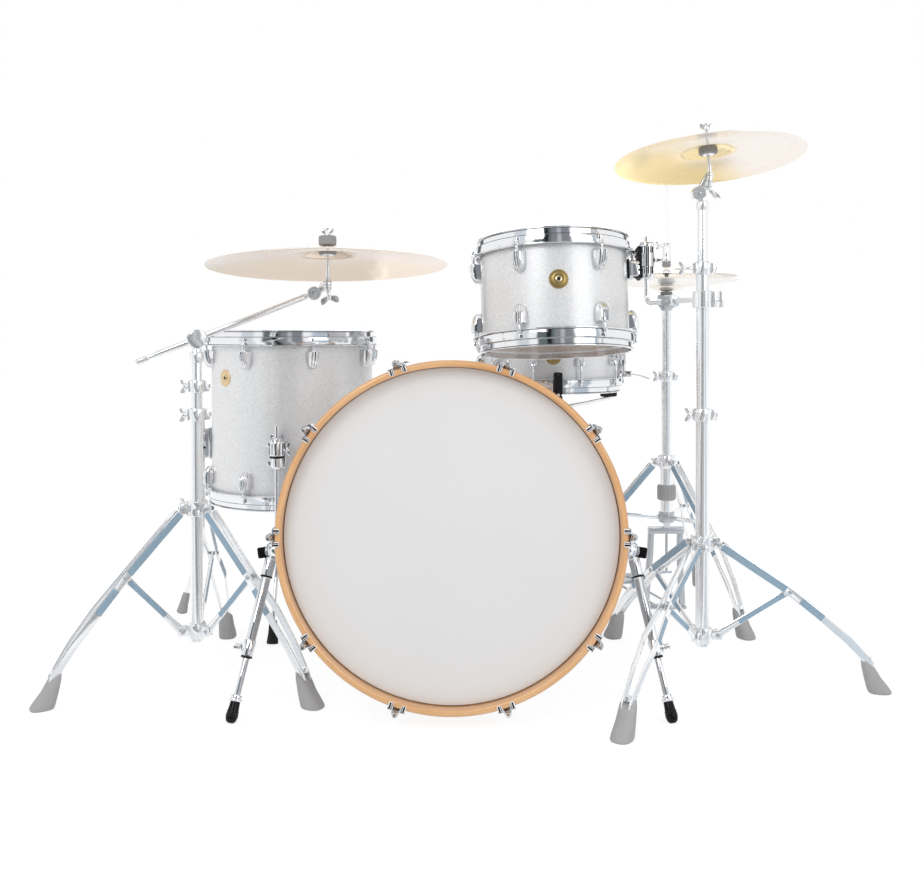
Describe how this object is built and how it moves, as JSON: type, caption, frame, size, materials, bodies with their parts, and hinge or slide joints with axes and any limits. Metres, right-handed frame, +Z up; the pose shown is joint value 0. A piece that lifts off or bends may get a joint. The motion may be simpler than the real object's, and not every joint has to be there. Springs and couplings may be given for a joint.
{
  "type": "acoustic drum kit",
  "caption": "Acoustic drum kit: bass drum with pedal, rack tom, floor tom, snare, hi-hat and two cymbals on folding stands.",
  "frame": {"origin": "on the floor under the middle of the kit's bounding box", "axes": "+X to the audience's right, +Y towards the player, +Z up"},
  "size_m": [1.6604, 1.1732, 1.1413],
  "materials": {
    "wrap": "pale silver sparkle wrap on a wooden shell",
    "maple": "clear lacquer",
    "film": "polyester film, coated or clear",
    "bronze": "pale cymbal bronze, lathed",
    "leg_steel": "chromed steel bars with a rubber foot",
    "steel": "chromed and grey painted steel",
    "chrome": "polished chrome"
  },
  "bodies": {
    "kit": {"bass_shell": "wrap", "bass_hoops": "maple", "bass_heads": "film", "bass_fittings": "chrome", "floor_shell": "wrap", "floor_hoops": "chrome", "floor_heads": "film", "floor_fittings": "chrome", "left_tube": "chrome", "right_tube": "chrome", "snare_stand": "steel", "hat_stand": "steel", "pedal_frame": "steel"},
    "spur_left": {"spur_left": "chrome"},
    "spur_right": {"spur_right": "chrome"},
    "floor_leg_1": {"floor_leg_1": "chrome"},
    "floor_leg_2": {"floor_leg_2": "chrome"},
    "floor_leg_3": {"floor_leg_3": "chrome"},
    "left_collar": {"left_collar": "chrome"},
    "right_collar": {"right_collar": "chrome"},
    "left_leg_1": {"left_leg_1": "leg_steel"},
    "left_leg_2": {"left_leg_2": "leg_steel"},
    "left_leg_3": {"left_leg_3": "leg_steel"},
    "left_brace_1": {"left_brace_1": "chrome"},
    "left_brace_2": {"left_brace_2": "chrome"},
    "left_brace_3": {"left_brace_3": "chrome"},
    "right_leg_1": {"right_leg_1": "leg_steel"},
    "right_leg_2": {"right_leg_2": "leg_steel"},
    "right_leg_3": {"right_leg_3": "leg_steel"},
    "right_brace_1": {"right_brace_1": "chrome"},
    "right_brace_2": {"right_brace_2": "chrome"},
    "right_brace_3": {"right_brace_3": "chrome"},
    "left_mid": {"left_mid_tube": "chrome"},
    "left_upper": {"left_upper_tube": "chrome"},
    "boom_clamp": {"boom_clamp": "chrome"},
    "boom_arm": {"boom_arm": "chrome"},
    "left_tilter": {"left_tilter": "chrome"},
    "left_cymbal": {"left_cymbal": "bronze"},
    "right_mid": {"right_mid_tube": "chrome"},
    "right_upper": {"right_upper_tube": "chrome"},
    "right_tilter": {"right_tilter": "chrome"},
    "right_cymbal": {"right_cymbal": "bronze"},
    "tom_arm": {"tom_arm": "chrome"},
    "tom": {"tom_shell": "wrap", "tom_hoops": "chrome", "tom_heads": "film", "tom_fittings": "chrome"},
    "snare": {"snare_basket": "steel", "snare_shell": "wrap", "snare_hoops": "chrome", "snare_fittings": "chrome", "snare_heads": "film"},
    "snare_lever": {"snare_lever": "chrome"},
    "hat_tube": {"hat_upper_tube": "chrome", "hat_bottom_cymbal": "bronze"},
    "hat_rod": {"hat_rod": "chrome", "hat_top_cymbal": "bronze"},
    "hat_pedal": {"hat_pedal": "steel"},
    "pedal_board": {"pedal_board": "steel"},
    "beater": {"pedal_beater": "chrome"}
  },
  "joints": [
    {"name": "left_collar_slide", "type": "slide", "parent": "kit", "child": "left_collar", "axis": [0, 0, 1], "range_m": [0, 0.08437]},
    {"name": "left_brace_1_swing", "type": "hinge", "parent": "kit", "child": "left_brace_1", "pos_m": [-0.56452, -0.232, 0.107], "axis": [0.9998, 0.0175, 0], "range_deg": [0, 34]},
    {"name": "left_leg_1_swing", "type": "hinge", "parent": "left_brace_1", "child": "left_leg_1", "pos_m": [-0.5665, -0.11867, 0.231], "axis": [-0.9998, -0.0175, 0], "range_deg": [0, 68]},
    {"name": "left_brace_2_swing", "type": "hinge", "parent": "kit", "child": "left_brace_2", "pos_m": [-0.58971, -0.27745, 0.107], "axis": [-0.515, 0.8572, 0], "range_deg": [0, 34]},
    {"name": "left_leg_2_swing", "type": "hinge", "parent": "left_brace_2", "child": "left_leg_2", "pos_m": [-0.68687, -0.33583, 0.231], "axis": [0.515, -0.8572, 0], "range_deg": [0, 68]},
    {"name": "left_brace_3_swing", "type": "hinge", "parent": "kit", "child": "left_brace_3", "pos_m": [-0.53776, -0.27654, 0.107], "axis": [-0.4848, -0.8746, 0], "range_deg": [0, 34]},
    {"name": "left_leg_3_swing", "type": "hinge", "parent": "left_brace_3", "child": "left_leg_3", "pos_m": [-0.43862, -0.3315, 0.231], "axis": [0.4848, 0.8746, 0], "range_deg": [0, 68]},
    {"name": "right_collar_slide", "type": "slide", "parent": "kit", "child": "right_collar", "axis": [0, 0, 1], "range_m": [0, 0.06135]},
    {"name": "right_brace_1_swing", "type": "hinge", "parent": "kit", "child": "right_brace_1", "pos_m": [0.49578, -0.28766, 0.104], "axis": [-0.1219, -0.9925, 0], "range_deg": [0, 13.7]},
    {"name": "right_leg_1_swing", "type": "hinge", "parent": "right_brace_1", "child": "right_leg_1", "pos_m": [0.6353, -0.30479, 0.196], "axis": [0.1219, 0.9925, 0], "range_deg": [0, 27.4]},
    {"name": "right_brace_2_swing", "type": "hinge", "parent": "kit", "child": "right_brace_2", "pos_m": [0.45428, -0.25638, 0.104], "axis": [0.9205, 0.3907, 0], "range_deg": [0, 13.7]},
    {"name": "right_leg_2_swing", "type": "hinge", "parent": "right_brace_2", "child": "right_leg_2", "pos_m": [0.39935, -0.12699, 0.196], "axis": [-0.9205, -0.3907, 0], "range_deg": [0, 27.4]},
    {"name": "right_brace_3_swing", "type": "hinge", "parent": "kit", "child": "right_brace_3", "pos_m": [0.44795, -0.30796, 0.104], "axis": [-0.7986, 0.6018, 0], "range_deg": [0, 13.7]},
    {"name": "right_leg_3_swing", "type": "hinge", "parent": "right_brace_3", "child": "right_leg_3", "pos_m": [0.36335, -0.42022, 0.196], "axis": [0.7986, -0.6018, 0], "range_deg": [0, 27.4]},
    {"name": "left_mid_slide", "type": "slide", "parent": "kit", "child": "left_mid", "axis": [0, 0, 1], "range_m": [-0.02, 0.2]},
    {"name": "left_upper_slide", "type": "slide", "parent": "left_mid", "child": "left_upper", "axis": [0, 0, 1], "range_m": [-0.02, 0.2]},
    {"name": "boom_tilt", "type": "hinge", "parent": "left_upper", "child": "boom_clamp", "pos_m": [-0.56924, -0.23858, 0.701], "axis": [0.2181, -0.9759, 0], "range_deg": [-8, 30]},
    {"name": "boom_slide", "type": "slide", "parent": "boom_clamp", "child": "boom_arm", "axis": [0.9061, 0.2025, 0.3714], "range_m": [-0.1, 0.06]},
    {"name": "left_cymbal_tilt", "type": "hinge", "parent": "boom_arm", "child": "left_tilter", "pos_m": [-0.33546, -0.18632, 0.79681], "axis": [0.2181, -0.9759, 0], "range_deg": [-8, 15]},
    {"name": "left_cymbal_rock", "type": "hinge", "parent": "left_tilter", "child": "left_cymbal", "pos_m": [-0.30672, -0.18307, 0.89389], "axis": [1, 0, 0], "range_deg": [-5, 5], "stiffness_Nm_per_rad": 15},
    {"name": "right_mid_slide", "type": "slide", "parent": "kit", "child": "right_mid", "axis": [0, 0, 1], "range_m": [-0.02, 0.12]},
    {"name": "right_upper_slide", "type": "slide", "parent": "right_mid", "child": "right_upper", "axis": [0, 0, 1], "range_m": [-0.03, 0.15]},
    {"name": "right_cymbal_tilt", "type": "hinge", "parent": "right_upper", "child": "right_tilter", "pos_m": [0.458, -0.284, 0.995], "axis": [0, 1, 0], "range_deg": [-10, 15]},
    {"name": "right_cymbal_rock", "type": "hinge", "parent": "right_tilter", "child": "right_cymbal", "pos_m": [0.47943, -0.27244, 1.09475], "axis": [1, 0, 0], "range_deg": [-5, 5], "stiffness_Nm_per_rad": 10},
    {"name": "tom_arm_swing", "type": "hinge", "parent": "right_mid", "child": "tom_arm", "pos_m": [0.466, -0.284, 0.781], "axis": [0, 0, 1], "range_deg": [-2, 10]},
    {"name": "tom_tilt", "type": "hinge", "parent": "tom_arm", "child": "tom", "pos_m": [0.396, -0.054, 0.781], "axis": [0.2912, -0.9567, 0], "range_deg": [-10, 1]},
    {"name": "floor_leg_1_slide", "type": "slide", "parent": "kit", "child": "floor_leg_1", "axis": [0, 0, 1], "range_m": [0, 0.15]},
    {"name": "floor_leg_2_slide", "type": "slide", "parent": "kit", "child": "floor_leg_2", "axis": [0, 0, 1], "range_m": [0, 0.15]},
    {"name": "floor_leg_3_slide", "type": "slide", "parent": "kit", "child": "floor_leg_3", "axis": [0, 0, 1], "range_m": [0, 0.15]},
    {"name": "spur_right_fold", "type": "hinge", "parent": "kit", "child": "spur_right", "pos_m": [0.31056, -0.35581, 0.28785], "axis": [0.9903, -0.0049, -0.1391], "range_deg": [0, 80]},
    {"name": "spur_left_fold", "type": "hinge", "parent": "kit", "child": "spur_left", "pos_m": [-0.39055, -0.35581, 0.28785], "axis": [0.9903, 0.0049, 0.1391], "range_deg": [-60, 10]},
    {"name": "snare_height", "type": "slide", "parent": "kit", "child": "snare", "axis": [0, 0, 1], "range_m": [-0.05, 0.06]},
    {"name": "snare_lever_throw", "type": "hinge", "parent": "snare", "child": "snare_lever", "pos_m": [0.40978, 0.28671, 0.607], "axis": [0.309, 0.9511, 0], "range_deg": [-50, 60]},
    {"name": "hat_height", "type": "slide", "parent": "kit", "child": "hat_tube", "axis": [0, 0, 1], "range_m": [-0.06, 0]},
    {"name": "hat_pedal_press", "type": "hinge", "parent": "kit", "child": "hat_pedal", "pos_m": [0.435, 0.538, 0.02], "axis": [0.9658, 0.2595, 0], "range_deg": [0, 1.58], "stiffness_Nm_per_rad": 400},
    {"name": "hat_rod_pull", "type": "slide", "parent": "kit", "child": "hat_rod", "axis": [0, 0, -1], "range_m": [0, 0.00766], "stiffness_N_per_m": 1500},
    {"name": "bass_pedal_press", "type": "hinge", "parent": "kit", "child": "pedal_board", "pos_m": [-0.04, 0.236, 0.024], "axis": [1, 0, 0], "range_deg": [0, 9.2], "stiffness_Nm_per_rad": 12},
    {"name": "beater_swing", "type": "hinge", "parent": "kit", "child": "beater", "pos_m": [-0.04, -0.052, 0.226], "axis": [1, 0, 0], "range_deg": [0, 58.88], "stiffness_Nm_per_rad": 0.6}
  ],
  "couplings": [
    {"joint": "left_brace_1_swing", "follows": "left_collar_slide", "rad_per_m": 7.0335},
    {"joint": "left_leg_1_swing", "follows": "left_collar_slide", "rad_per_m": 14.067},
    {"joint": "left_brace_2_swing", "follows": "left_collar_slide", "rad_per_m": 7.0335},
    {"joint": "left_leg_2_swing", "follows": "left_collar_slide", "rad_per_m": 14.067},
    {"joint": "left_brace_3_swing", "follows": "left_collar_slide", "rad_per_m": 7.0335},
    {"joint": "left_leg_3_swing", "follows": "left_collar_slide", "rad_per_m": 14.067},
    {"joint": "right_brace_1_swing", "follows": "right_collar_slide", "rad_per_m": 3.8975},
    {"joint": "right_leg_1_swing", "follows": "right_collar_slide", "rad_per_m": 7.795},
    {"joint": "right_brace_2_swing", "follows": "right_collar_slide", "rad_per_m": 3.8975},
    {"joint": "right_leg_2_swing", "follows": "right_collar_slide", "rad_per_m": 7.795},
    {"joint": "right_brace_3_swing", "follows": "right_collar_slide", "rad_per_m": 3.8975},
    {"joint": "right_leg_3_swing", "follows": "right_collar_slide", "rad_per_m": 7.795},
    {"joint": "hat_rod_pull", "follows": "hat_pedal_press", "m_per_rad": 0.2775},
    {"joint": "beater_swing", "follows": "bass_pedal_press", "ratio": 6.4}
  ]
}
